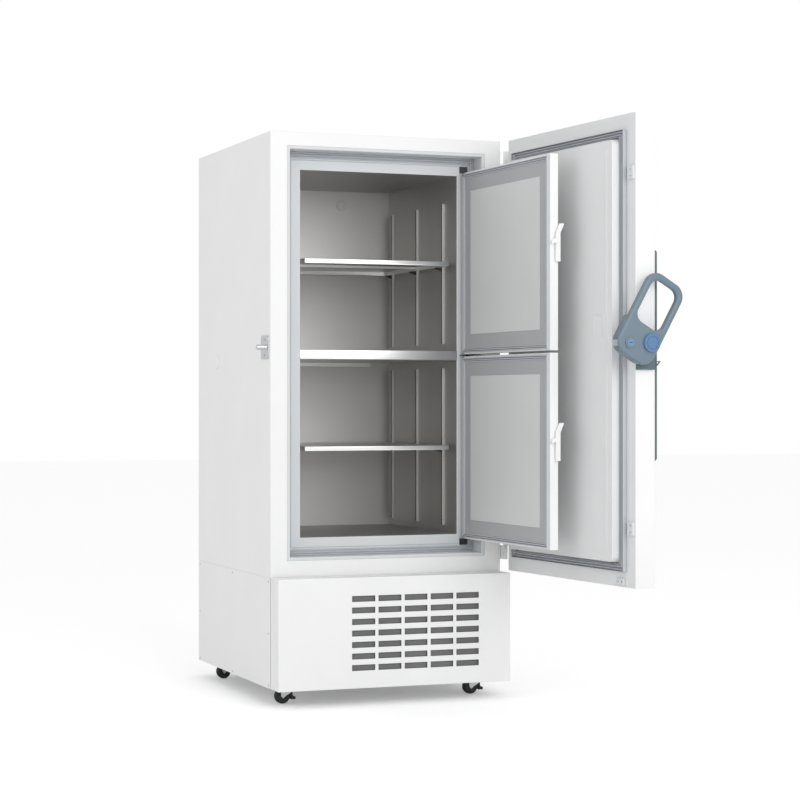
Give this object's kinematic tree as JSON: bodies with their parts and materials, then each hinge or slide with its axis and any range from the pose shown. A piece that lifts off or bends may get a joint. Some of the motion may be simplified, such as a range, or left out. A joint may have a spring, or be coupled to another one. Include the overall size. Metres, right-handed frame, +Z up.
{
  "type": "ultra low temperature freezer",
  "caption": "Upright ultra low temperature freezer on castors with a swinging outer door, insulated inner doors, a turning latch handle and a louvred machine base.",
  "frame": {"origin": "on the floor under the middle of the cabinet body, doors excluded", "axes": "+Z up, +X to the right as seen from the front, +Y from the front to the back"},
  "size_m": [1.1373, 1.8645, 1.98],
  "materials": {
    "white_coating": "satin powder coat",
    "hinge_coating": "satin powder coat",
    "pale_plastic": "fine grained",
    "door_plastic": "fine grained",
    "white_plastic": "smooth",
    "insulating_foam": "rigid foam",
    "brushed_steel": "brushed",
    "copper_tube": "drawn copper",
    "seal_rubber": "matte",
    "zinc_steel": "zinc plated",
    "black_plastic": "matte",
    "black_coating": "semi gloss",
    "castor_tread": "matte",
    "fin_aluminium": "mill finish",
    "exchanger_wrap": "matte foam rubber",
    "grey_coating": "satin powder coat",
    "filter_mat": "woven mesh",
    "handle_grey_blue": "fine grained",
    "base_grey_blue": "fine grained",
    "knob_blue": "semi gloss",
    "lock_metal": "turned",
    "fascia_plastic": "satin",
    "display_glass": "polished"
  },
  "bodies": {
    "cabinet": {"outer_shell": "white_coating", "back_panel": "white_coating", "foam_core": "insulating_foam", "inner_liner": "brushed_steel", "evaporator_coil": "copper_tube", "recess_frame": "pale_plastic", "throat_seal": "seal_rubber", "centre_divider": "brushed_steel", "shelf_lower": "brushed_steel", "shelf_upper": "brushed_steel", "pilasters": "brushed_steel", "shelf_clips": "brushed_steel", "rear_port_plug": "pale_plastic", "side_port_cap": "pale_plastic", "door_strike": "zinc_steel", "outer_hinge_brackets": "hinge_coating", "inner_hinge_brackets": "black_coating", "base_side_panels": "white_coating", "base_frame": "zinc_steel", "base_rear_panel": "white_coating", "panel_screws": "zinc_steel", "power_inlet": "black_plastic", "condenser": "fin_aluminium", "fan_shroud": "zinc_steel", "fan_motor": "black_coating", "compressors": "black_coating", "cascade_exchanger": "exchanger_wrap", "electrical_box": "grey_coating", "castor_plates": "zinc_steel"},
    "outer_door": {"door_outer_panel": "white_coating", "door_foam": "insulating_foam", "door_inner_panel": "pale_plastic", "door_seal": "seal_rubber", "door_fascia": "fascia_plastic", "control_display": "display_glass", "door_bumpers": "pale_plastic", "door_hinge_leaves": "hinge_coating", "handle_base": "base_grey_blue"},
    "latch_handle": {"handle_lever": "handle_grey_blue", "handle_knob": "knob_blue"},
    "handle_lock": {"lock_cylinder": "lock_metal"},
    "upper_inner_door": {"inner_door_upper": "door_plastic", "inner_seal_upper": "seal_rubber"},
    "lower_inner_door": {"inner_door_lower": "door_plastic", "inner_seal_lower": "seal_rubber"},
    "upper_latch": {"inner_latch_upper": "white_plastic"},
    "lower_latch": {"inner_latch_lower": "white_plastic"},
    "front_cover": {"lower_front_cover": "white_coating", "air_filter": "filter_mat"},
    "fan": {"fan_rotor": "black_plastic"},
    "front_left_castor": {"castor_fork_front_left": "zinc_steel"},
    "front_left_wheel": {"castor_wheel_front_left": "castor_tread"},
    "front_left_pedal": {"castor_pedal_front_left": "black_plastic"},
    "front_right_castor": {"castor_fork_front_right": "zinc_steel"},
    "front_right_wheel": {"castor_wheel_front_right": "castor_tread"},
    "front_right_pedal": {"castor_pedal_front_right": "black_plastic"},
    "rear_left_castor": {"castor_fork_rear_left": "zinc_steel"},
    "rear_left_wheel": {"castor_wheel_rear_left": "castor_tread"},
    "rear_right_castor": {"castor_fork_rear_right": "zinc_steel"},
    "rear_right_wheel": {"castor_wheel_rear_right": "castor_tread"}
  },
  "joints": [
    {"name": "outer_door_hinge", "type": "hinge", "parent": "cabinet", "child": "outer_door", "pos_m": [0.445, -0.469, 1.2], "axis": [0, 0, 1], "range_deg": [-94.5, 5]},
    {"name": "handle_turn", "type": "hinge", "parent": "outer_door", "child": "latch_handle", "pos_m": [0.54691, -1.36878, 1.237], "axis": [-0.0785, 0.9969, 0], "range_deg": [-35, 0]},
    {"name": "key_lock", "type": "hinge", "parent": "latch_handle", "child": "handle_lock", "pos_m": [0.46972, -1.39491, 1.237], "axis": [-0.0785, 0.9969, 0], "range_deg": [0, 90]},
    {"name": "upper_inner_door_hinge", "type": "hinge", "parent": "cabinet", "child": "upper_inner_door", "pos_m": [0.326, -0.396, 1.574], "axis": [0, 0, 1], "range_deg": [-92.61, 5]},
    {"name": "upper_latch_turn", "type": "hinge", "parent": "upper_inner_door", "child": "upper_latch", "pos_m": [0.37054, -1.06817, 1.574], "axis": [-0.0454, 0.999, 0], "range_deg": [-12, 0]},
    {"name": "lower_inner_door_hinge", "type": "hinge", "parent": "cabinet", "child": "lower_inner_door", "pos_m": [0.326, -0.396, 0.915], "axis": [0, 0, 1], "range_deg": [-92.61, 5]},
    {"name": "lower_latch_turn", "type": "hinge", "parent": "lower_inner_door", "child": "lower_latch", "pos_m": [0.37054, -1.06817, 0.915], "axis": [-0.0454, 0.999, 0], "range_deg": [-12, 0]},
    {"name": "front_cover_hinge", "type": "hinge", "parent": "cabinet", "child": "front_cover", "pos_m": [0.422, -0.468, 0.25], "axis": [0, 0, 1], "range_deg": [0, 100]},
    {"name": "fan_spin", "type": "hinge", "parent": "cabinet", "child": "fan", "pos_m": [0.072, -0.34, 0.218], "axis": [0, 1, 0], "continuous": true},
    {"name": "front_left_swivel", "type": "hinge", "parent": "cabinet", "child": "front_left_castor", "pos_m": [-0.354, -0.38, 0.062], "axis": [0, 0, 1], "continuous": true},
    {"name": "front_left_roll", "type": "hinge", "parent": "front_left_castor", "child": "front_left_wheel", "pos_m": [-0.364, -0.38, 0.027], "axis": [0, 1, 0], "continuous": true},
    {"name": "front_left_brake", "type": "hinge", "parent": "front_left_castor", "child": "front_left_pedal", "pos_m": [-0.334, -0.38, 0.046], "axis": [0, 1, 0], "range_deg": [0, 8]},
    {"name": "front_right_swivel", "type": "hinge", "parent": "cabinet", "child": "front_right_castor", "pos_m": [0.354, -0.38, 0.062], "axis": [0, 0, 1], "continuous": true},
    {"name": "front_right_roll", "type": "hinge", "parent": "front_right_castor", "child": "front_right_wheel", "pos_m": [0.344, -0.38, 0.027], "axis": [0, 1, 0], "continuous": true},
    {"name": "front_right_brake", "type": "hinge", "parent": "front_right_castor", "child": "front_right_pedal", "pos_m": [0.374, -0.38, 0.046], "axis": [0, 1, 0], "range_deg": [0, 8]},
    {"name": "rear_left_swivel", "type": "hinge", "parent": "cabinet", "child": "rear_left_castor", "pos_m": [-0.354, 0.346, 0.062], "axis": [0, 0, 1], "continuous": true},
    {"name": "rear_left_roll", "type": "hinge", "parent": "rear_left_castor", "child": "rear_left_wheel", "pos_m": [-0.364, 0.346, 0.027], "axis": [0, 1, 0], "continuous": true},
    {"name": "rear_right_swivel", "type": "hinge", "parent": "cabinet", "child": "rear_right_castor", "pos_m": [0.354, 0.346, 0.062], "axis": [0, 0, 1], "continuous": true},
    {"name": "rear_right_roll", "type": "hinge", "parent": "rear_right_castor", "child": "rear_right_wheel", "pos_m": [0.344, 0.346, 0.027], "axis": [0, 1, 0], "continuous": true}
  ],
  "couplings": [
    {"joint": "upper_inner_door_hinge", "follows": "outer_door_hinge", "ratio": 0.97989},
    {"joint": "lower_inner_door_hinge", "follows": "outer_door_hinge", "ratio": 0.97989}
  ]
}
